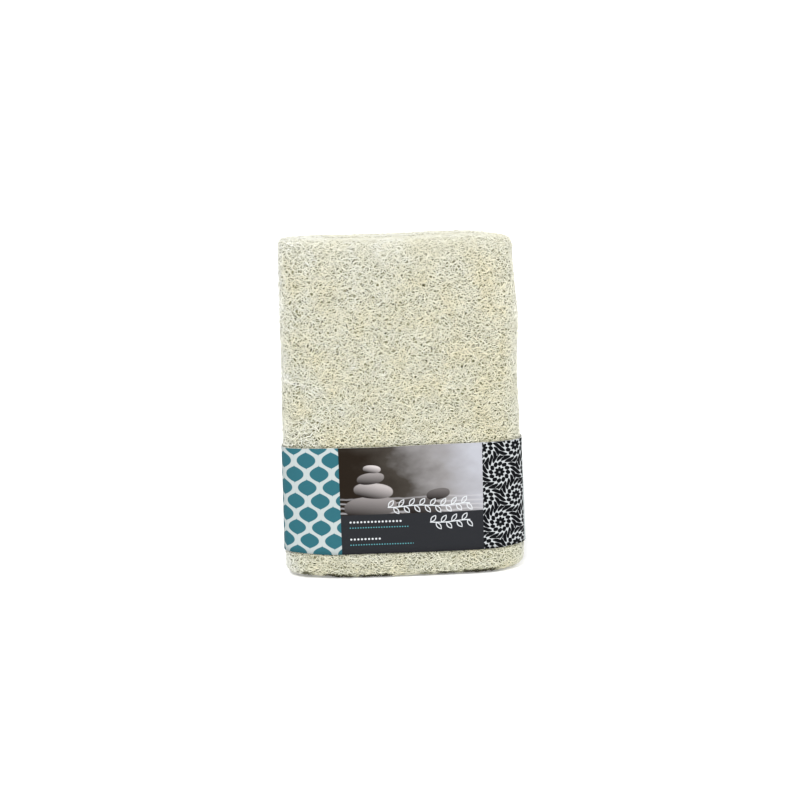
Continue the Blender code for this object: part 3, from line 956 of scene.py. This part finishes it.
SIDE_FROM = 0.83                        # the side lots begin at this share of the half width
END_EDGE = (1.6, 0.5)                   # the end lots begin and are full this far from the ends
BARE_EDGE = (2.0, 4.0)                  # no fibres grow deeper than this under the band
SLOT_CLEAR, SLOT_SHALLOW = 1.9, 1.5     # no fibres grow over the open slots
# painted contact shadow: where the foot's lowest fibres are darkened
SHADOW_DASH_TOP, SHADOW_DASH_FRONT, SHADOW_DASH_LEVEL = 6.0, -8.0, 2.2   # where the foot's lowest fibres are dark
CORE_AROUND, CORE_ROWS, CORE_DEEP, CORE_LUMP = 200, 90, 1.05, 0.2

BAND_STEPS, BAND_ROWS = 420, 15
LAP_STEP, LAP_RAMP, LAP_CLEAR, LAP_GAP = 0.0004, 0.012, 0.0012, 0.06
FREE_LIFT, FREE_FADE = 0.22, 160.0      # how the outer end of the paper stands off
LOW_RISE, LOW_WAVE, HIGH_WAVE = 0.45, 0.1, 0.10
CORNER_RISE = ((0.9, 0.72, 1.0), (1.25, 0.58, 0.95))   # right and left: rise, from, full
PRINT_LEVEL = 34.5                      # the print is true to size at this height

# strips of the band's own map: inset, then the starts and heights of its rows
MAP_INSET, MAP_WIDE = 0.01, 0.98
MAP_OUTER, MAP_OUTER_H = (0.01, 0.42), 0.395
MAP_INNER, MAP_INNER_H = 0.83, 0.10
MAP_EDGES, MAP_EDGE_H = (0.945, 0.965), 0.012

# the fibres of each lot, in metres
FIBRES = dict(fibres_per_square_metre=1.04e6, length=0.0032, length_spread=0.5, segments=4,
              thickness=0.00016, curl=1000.0, wander=0.0006, depth=0.0002,
              depth_spread=0.00014, weave=0.00012, tip_dive=0.0004, slant=0.1,
              slant_spread=2.2)
FIBRES_UNDER = dict(FIBRES, fibres_per_square_metre=9.0e5, length=0.0040, thickness=0.0002,
                    depth=0.00055, depth_spread=0.0002, slant=0.3, slant_spread=3.0)
BACK_FIBRES = dict(fibres_per_square_metre=5.8e5, length=0.0038, thickness=0.00021)
FLANK_FIBRES = dict(fibres_per_square_metre=8.6e5)
END_FIBRES = dict(length=0.0036, depth=0.0003)
# side, layer, seed and changes
LOTS = (
    ("front", "", 10, {}),
    ("front", "_deep", 17, {}),
    ("back", "", 30, BACK_FIBRES),
    ("back", "_deep", 37, BACK_FIBRES),
    ("left", "", 50, FLANK_FIBRES),
    ("left", "_deep", 57, FLANK_FIBRES),
    ("right", "", 70, FLANK_FIBRES),
    ("right", "_deep", 77, FLANK_FIBRES),
    ("head", "", 90, dict(END_FIBRES, fibres_per_square_metre=1.1e6)),
    ("foot", "", 110, dict(END_FIBRES, fibres_per_square_metre=7.0e5)),
    ("head", "_deep", 97, dict(fibres_per_square_metre=7.0e5)),
)


def make_skin():
    """The mean surface that the fibres lie on, with weights that say where each lot is sown."""
    pts, faces = skin_grid(lambda u, z: 0.0 * u, 240, slots=False)
    skin = mesh_object("skin", pts, faces)
    outward(skin)
    x, y, z = pts[:, 0], pts[:, 1] - SHIFT_Y, pts[:, 2]
    off, full = END_EDGE
    end = np.maximum(smooth(HEIGHT - off, HEIGHT - full, z), smooth(off, full, z))
    near, deep = BARE_EDGE
    bare = (smooth(BAND_LOW + near, BAND_LOW + deep, z)
            * smooth(BAND_HIGH - near, BAND_HIGH - deep, z))
    walls = (1.0 - end) * (1.0 - bare)
    side = (np.abs(x) / half_sizes(z)[0] > SIDE_FROM).astype(float)
    bow = -FORWARD * np.abs(x / HALF_W[0]) ** 3
    slot = ((np.abs(y - bow) < SLOT_CLEAR) & (slot_depth(x) > SLOT_SHALLOW)).astype(float)
    weights = {
        "sow_front": walls * (1 - side) * (y < 0),
        "sow_back": walls * (1 - side) * (y >= 0),
        "sow_left": walls * side * (x < 0),
        "sow_right": walls * side * (x > 0),
        "sow_head": end * (z > HEIGHT / 2.0) * (1 - slot),
        "sow_foot": end * (z < HEIGHT / 2.0) * (1 - slot),
        # painted contact shadow along the foot's front edge, and the height it reaches
        "dash": np.interp(x, SHADOW_DASH_X, SHADOW_DASH) * (z < SHADOW_DASH_TOP) * (y < SHADOW_DASH_FRONT),
        "dash_level": (SHADOW_DASH_LEVEL + np.interp(x, LIFT_X, LIFT_Z)) * MM,
    }
    for name, value in weights.items():
        layer = skin.data.attributes.new(name, "FLOAT", "POINT")
        layer.data.foreach_set("value", np.asarray(value, np.float32))
    return skin


def make_core(material):
    """The soft web under the fibres, with the slots of the seed chambers in both ends."""
    def push(u, z):
        a = 2.0 * math.pi * u
        lumps = (np.sin(23 * a + 0.31 * z) * np.sin(0.83 * z - 11 * a)
                 + 0.6 * np.sin(41 * a - 0.52 * z + 1.3) * np.sin(1.21 * z + 17 * a))
        return -CORE_DEEP + CORE_LUMP * lumps
    pts, faces = skin_grid(push, CORE_AROUND, slots=True, side_rows=CORE_ROWS)
    core = mesh_object("loofah_core", pts, faces)
    outward(core)
    core.data.materials.append(material)
    return core


def band_layers(u):
    """Rows of points up the inside of the paper, then up its outside."""
    turn = 2.0 * math.pi * u
    lo, hi = LAP
    lap = np.where((u > lo) & (u <= hi), 1.0,
                   np.where((u > hi) & (u < hi + LAP_RAMP), 1.0 - (u - hi) / LAP_RAMP, 0.0))
    free = np.exp(-np.abs(u - lo - LAP_STEP) * FREE_FADE) * (u > lo)
    ends = np.abs(unit_section(u)[0])
    right, left = [rise * smooth(start, full, ends) for rise, start, full in CORNER_RISE]
    corner = np.where(np.cos(turn) > 0, right, left)
    layers = []
    for out in (0, 1):
        for j in range(BAND_ROWS + 1):
            v = j / BAND_ROWS
            wave = (0.05 * np.sin(5 * turn + 3.0 * v) + 0.04 * np.sin(11 * turn - 4.0 * v + 1.0)
                    + 0.03 * np.sin(23 * turn + 2.0 * v))
            flare = 0.16 * smooth(0.9, 1.0, v) + 0.08 * smooth(0.08, 0.0, v)
            lift = wave + flare * (0.7 + 0.3 * np.sin(7 * turn + 0.5))
            extra = lift + out * (PAPER + lap * (PAPER + LAP_GAP) + FREE_LIFT * free)
            low = BAND_LOW + (LOW_RISE + LOW_WAVE * np.sin(3 * turn + 1.0) + corner) * (1.0 - v)
            high = BAND_HIGH + HIGH_WAVE * np.sin(4 * turn) * v
            z = low + (high - low) * v
            x, y = section(u, z, BAND_GAP + extra)
            layers.append(np.stack([x, y, z + BAND_SLOPE * x], -1))
    return np.array(layers)


def band_faces(steps):
    """The inside, the outside and the two thin edges of the closed strip."""
    ids = np.arange(2 * (BAND_ROWS + 1) * steps).reshape(-1, steps)
    nxt = np.roll(ids, -1, axis=1)
    top, first = BAND_ROWS, BAND_ROWS + 1
    quads = []
    for j in range(BAND_ROWS):
        for i in range(steps):
            quads.append((ids[j, i], ids[j + 1, i], nxt[j + 1, i], nxt[j, i]))
    for j in range(first, first + BAND_ROWS):
        for i in range(steps):
            quads.append((ids[j, i], nxt[j, i], nxt[j + 1, i], ids[j + 1, i]))
    for i in range(steps):
        quads.append((ids[0, i], nxt[0, i], nxt[first, i], ids[first, i]))
        quads.append((ids[top, i], ids[first + top, i], nxt[first + top, i], nxt[top, i]))
    return [tuple(int(i) for i in quad) for quad in quads]


def band_maps(mesh, u):
    """The print's place in metres of paper, and a map of the band's own for baking."""
    steps = len(u)
    fine = np.arange(0.25, 1.2501, 0.0005)
    fx, fy = section(fine, 0.5 * (BAND_LOW + BAND_HIGH), BAND_GAP)
    gone = np.concatenate([[0.0], np.cumsum(np.hypot(np.diff(fx), np.diff(fy)))])
    gone -= np.interp(0.75, fine, gone)
    across = np.interp(np.where(u < 0.25, u + 1.0, u), fine, gone)
    girth = gone[-1] - gone[0]
    height = BAND_LOW + (BAND_HIGH - BAND_LOW) * np.arange(BAND_ROWS + 1) / BAND_ROWS
    uv_print = mesh.uv_layers.new(name="Print")
    uv_bake = mesh.uv_layers.new(name="OFBake")
    printed = mesh.attributes.new("printed", "FLOAT", "FACE")
    loops = np.zeros(len(mesh.loops), np.int64)
    mesh.loops.foreach_get("vertex_index", loops)
    per_print = np.zeros((len(loops), 2), np.float32)
    per_bake = np.zeros((len(loops), 2), np.float32)
    flags = np.zeros(len(mesh.polygons), np.float32)
    span = girth / 2.0 + 0.5
    for poly in mesh.polygons:
        row, col = np.divmod(loops[list(poly.loop_indices)], steps)
        s = across[col]
        if s.max() - s.min() > girth / 2:
            s = np.where(s < 0, s + girth, s)
        h = height[row % (BAND_ROWS + 1)]
        t = (h - BAND_LOW) / (BAND_HIGH - BAND_LOW)
        if (row > BAND_ROWS).all():
            flags[poly.index] = 1.0
            left = s.mean() < 0
            bu = MAP_INSET + MAP_WIDE * ((s + span) / span if left else s / (span + 1.0))
            bv = (MAP_OUTER[0] if left else MAP_OUTER[1]) + MAP_OUTER_H * t
        else:
            bu = MAP_INSET + MAP_WIDE * (s + span) / (2.0 * span + 2.0)
            if (row <= BAND_ROWS).all():
                bv = MAP_INNER + MAP_INNER_H * t
            else:
                base = MAP_EDGES[0] if h.mean() < PRINT_LEVEL else MAP_EDGES[1]
                bv = base + MAP_EDGE_H * (row > BAND_ROWS)
        stretch = half_sizes(h)[0] / half_sizes(PRINT_LEVEL)[0]
        for k, i in enumerate(poly.loop_indices):
            per_print[i] = (s[k] * MM * stretch[k], h[k] * MM)
            per_bake[i] = (bu[k], bv[k])
    uv_print.data.foreach_set("uv", per_print.ravel())
    uv_bake.data.foreach_set("uv", per_bake.ravel())
    printed.data.foreach_set("value", flags)


def make_band(material):
    """Thin paper strip closed round the body, a little wavy. Its ends lap at the back."""
    lo, hi = LAP
    even = np.arange(BAND_STEPS) / BAND_STEPS
    u = [v for v in even if min(abs(v - lo), abs(v - hi)) > LAP_CLEAR]
    u = np.array(sorted(u + [lo, lo + LAP_STEP, hi, hi + LAP_RAMP]))
    band = mesh_object("paper_band_print", band_layers(u).reshape(-1, 3), band_faces(len(u)))
    outward(band)
    band.data.materials.append(material)
    band_maps(band.data, u)
    return band


def make_body():
    skin = make_skin()
    fibre, web = fibre_material(), web_material()
    pieces = [make_core(web)]
    net = fibre_net_tree()
    for side, layer, seed, change in LOTS:
        values = dict(FIBRES_UNDER if layer else FIBRES, **change)
        pieces.append(grow(f"fibre_{side}{layer}", skin, net, f"sow_{side}", fibre, seed=seed,
                           **values))
    bpy.data.objects.remove(skin, do_unlink=True)
    return pieces


# camera, floor and light, in metres

CAM_BACK, CAM_UP, CAM_YAW, CAM_ROLL = 0.600, 0.2011, -0.0082, 0.0324
AIM = Vector((-0.00004, -0.00025, 0.07385))
LENS, SENSOR = 64.915, 36.0
FLOOR_RINGS, FLOOR_STEPS = (0.2, 0.6, 1.5, 3.5, 8.0), 64
ROOM_LIGHT, ROOM_SEEN = 0.54, 0.66
# name, azimuth and height in degrees, strength, width in degrees
LAMPS = (
    ("key", -12.0, 44.0, 2.18, 12.0),
    ("fill", 24.0, 38.0, 0.74, 26.0),
    ("side", 72.0, 30.0, 0.62, 30.0),
    ("top", 0.0, 82.0, 0.12, 60.0),
)


def make_camera():
    data = bpy.data.cameras.new("camera")
    data.lens = LENS
    data.sensor_width = SENSOR
    data.clip_start, data.clip_end = 0.01, 50.0
    cam = bpy.data.objects.new("camera", data)
    COL.objects.link(cam)
    place = Vector((CAM_BACK * math.sin(CAM_YAW), -CAM_BACK * math.cos(CAM_YAW) + AIM.y, CAM_UP))
    look = (AIM - place).normalized()
    right = look.cross(Vector((0, 0, 1))).normalized()
    up = right.cross(look)
    c, s = math.cos(CAM_ROLL), math.sin(CAM_ROLL)
    r, u = right * c - up * s, right * s + up * c
    cam.matrix_world = Matrix((
        (r.x, u.x, -look.x, place.x), (r.y, u.y, -look.y, place.y),
        (r.z, u.z, -look.z, place.z), (0, 0, 0, 1)))
    bpy.context.scene.camera = cam


def make_floor():
    pts, faces = [], []
    for r in FLOOR_RINGS:
        for k in range(FLOOR_STEPS):
            a = 2 * math.pi * k / FLOOR_STEPS
            pts.append((1000 * r * math.cos(a), 1000 * r * math.sin(a), 0.0))
    centre = len(pts)
    pts.append((0.0, 0.0, 0.0))
    for k in range(FLOOR_STEPS):
        after = (k + 1) % FLOOR_STEPS
        faces.append((centre, k, after))
        for j in range(len(FLOOR_RINGS) - 1):
            a, b = j * FLOOR_STEPS, (j + 1) * FLOOR_STEPS
            faces.append((a + k, b + k, b + after, a + after))
    floor = mesh_object("floor", pts, faces)
    mat, _, shader = principled("pale_floor", 0.9)
    shader.inputs["Base Color"].default_value = (0.93, 0.93, 0.93, 1.0)
    shader.inputs["Specular IOR Level"].default_value = 0.1
    shader.inputs["Emission Color"].default_value = (1.0, 1.0, 1.0, 1.0)
    shader.inputs["Emission Strength"].default_value = 0.22
    floor.data.materials.append(mat)
    return floor


def make_light():
    world = bpy.data.worlds.new("studio")
    bpy.context.scene.world = world
    world.use_nodes = True
    tree = world.node_tree
    sky = tree.nodes["Background"]
    seen = tree.nodes.new("ShaderNodeLightPath").outputs["Is Camera Ray"]
    sky.inputs["Color"].default_value = (1.0, 1.0, 1.0, 1.0)
    wire(tree, sky.inputs["Strength"], add(tree, ROOM_LIGHT, mul(tree, seen, ROOM_SEEN)))
    for name, azimuth, height, power, width in LAMPS:
        data = bpy.data.lights.new(name, "SUN")
        data.energy = power
        data.angle = math.radians(width)
        lamp = bpy.data.objects.new(name, data)
        COL.objects.link(lamp)
        a, e = math.radians(azimuth), math.radians(height)
        toward = Vector((math.sin(a) * math.cos(e), -math.cos(a) * math.cos(e), math.sin(e)))
        lamp.rotation_euler = toward.to_track_quat("Z", "Y").to_euler()
        lamp.location = toward * 2.0
    bpy.context.scene.view_settings.view_transform = "Standard"


def main():
    make_camera()
    make_floor()
    make_light()
    body = make_body()
    band = make_band(print_material())
    for piece in body:
        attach(piece, "root")
        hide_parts("sponge")
    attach(band, "root")
    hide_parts("paper_band")


main()
